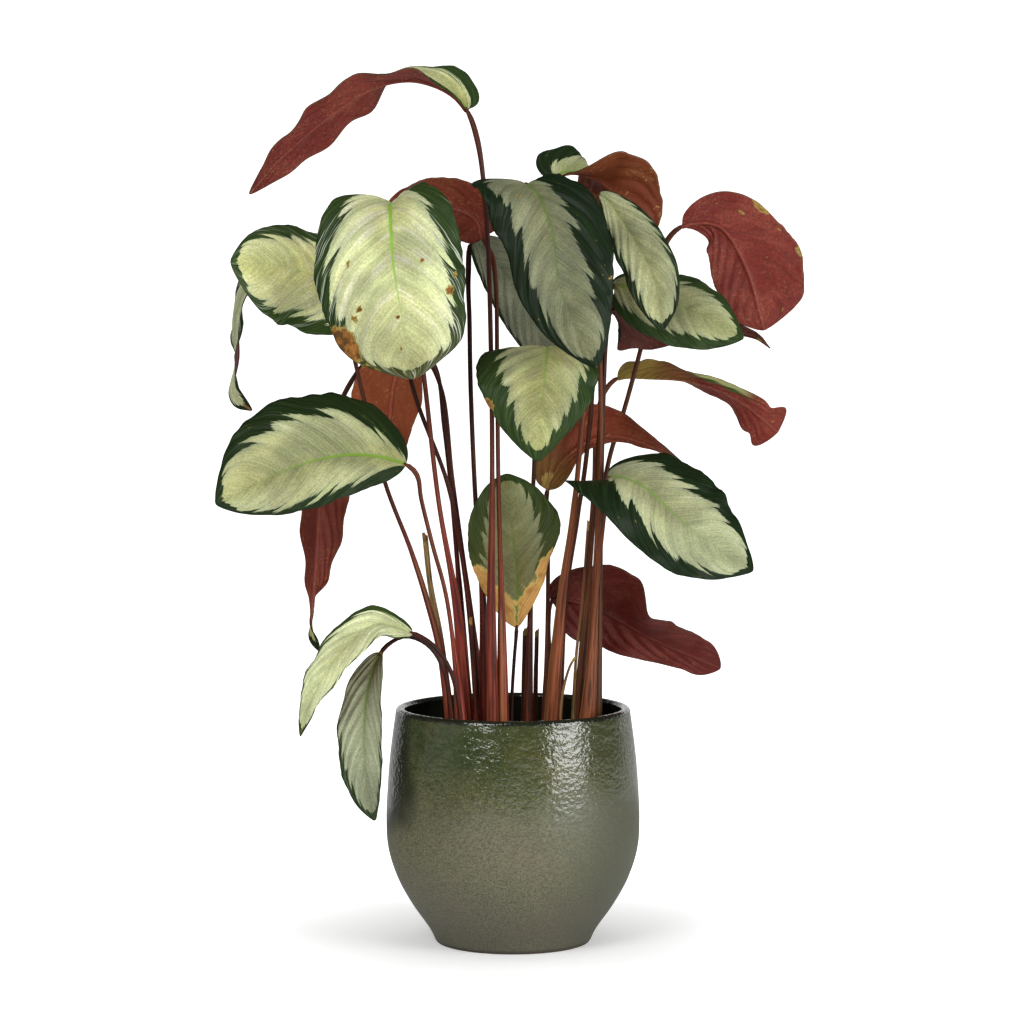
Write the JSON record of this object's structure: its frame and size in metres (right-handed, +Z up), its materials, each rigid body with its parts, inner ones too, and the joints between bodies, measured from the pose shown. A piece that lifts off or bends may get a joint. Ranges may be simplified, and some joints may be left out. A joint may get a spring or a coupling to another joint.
{
  "type": "potted prayer plant",
  "caption": "Bushy foliage plant with broad silver and dark green leaves, wine red below, on reddish stalks in a nursery pot inside a round glazed cover pot.",
  "frame": {"origin": "centre of the cover pot's flat foot, on the floor", "axes": "+Z up, -Y to the front of the plant as pictured, +X to the right seen from the front"},
  "size_m": [0.4802, 0.2135, 0.7237],
  "materials": {
    "glaze": "dark green glaze, glossy above and satin below",
    "black_plastic": "matt black",
    "soil": "loose dark peat",
    "leaf_blade": "satin, silver green with a dark green margin above, wine red below",
    "leaf_stalk": "satin, reddish brown",
    "dry_stalk": "matt, straw brown"
  },
  "bodies": {
    "root": {"cover_pot": "glaze", "nursery_pot": "black_plastic", "potting_soil": "soil", "leaf_01_blade": "leaf_blade", "leaf_01_stalk": "leaf_stalk", "leaf_02_blade": "leaf_blade", "leaf_02_stalk": "leaf_stalk", "leaf_03_blade": "leaf_blade", "leaf_03_stalk": "leaf_stalk", "leaf_04_blade": "leaf_blade", "leaf_04_stalk": "leaf_stalk", "leaf_05_blade": "leaf_blade", "leaf_05_stalk": "leaf_stalk", "leaf_06_blade": "leaf_blade", "leaf_06_stalk": "leaf_stalk", "leaf_07_blade": "leaf_blade", "leaf_07_stalk": "leaf_stalk", "leaf_08_blade": "leaf_blade", "leaf_08_stalk": "leaf_stalk", "leaf_09_blade": "leaf_blade", "leaf_09_stalk": "leaf_stalk", "leaf_10_blade": "leaf_blade", "leaf_10_stalk": "leaf_stalk", "leaf_11_blade": "leaf_blade", "leaf_11_stalk": "leaf_stalk", "leaf_12_blade": "leaf_blade", "leaf_12_stalk": "leaf_stalk", "leaf_13_blade": "leaf_blade", "leaf_13_stalk": "leaf_stalk", "leaf_14_blade": "leaf_blade", "leaf_14_stalk": "leaf_stalk", "leaf_15_blade": "leaf_blade", "leaf_15_stalk": "leaf_stalk", "leaf_16_blade": "leaf_blade", "leaf_16_stalk": "leaf_stalk", "leaf_17_blade": "leaf_blade", "leaf_17_stalk": "leaf_stalk", "leaf_18_blade": "leaf_blade", "leaf_18_stalk": "leaf_stalk", "leaf_19_blade": "leaf_blade", "leaf_19_stalk": "leaf_stalk", "leaf_20_blade": "leaf_blade", "leaf_20_stalk": "leaf_stalk", "leaf_21_blade": "leaf_blade", "leaf_21_stalk": "leaf_stalk", "leaf_22_blade": "leaf_blade", "leaf_22_stalk": "leaf_stalk", "leaf_23_blade": "leaf_blade", "leaf_23_stalk": "leaf_stalk", "cut_stalk": "dry_stalk", "sheath_left": "leaf_stalk", "sheath_back": "leaf_stalk", "sheath_middle": "leaf_stalk", "withered_shoot": "dry_stalk", "dry_strip": "dry_stalk"}
  },
  "joints": []
}
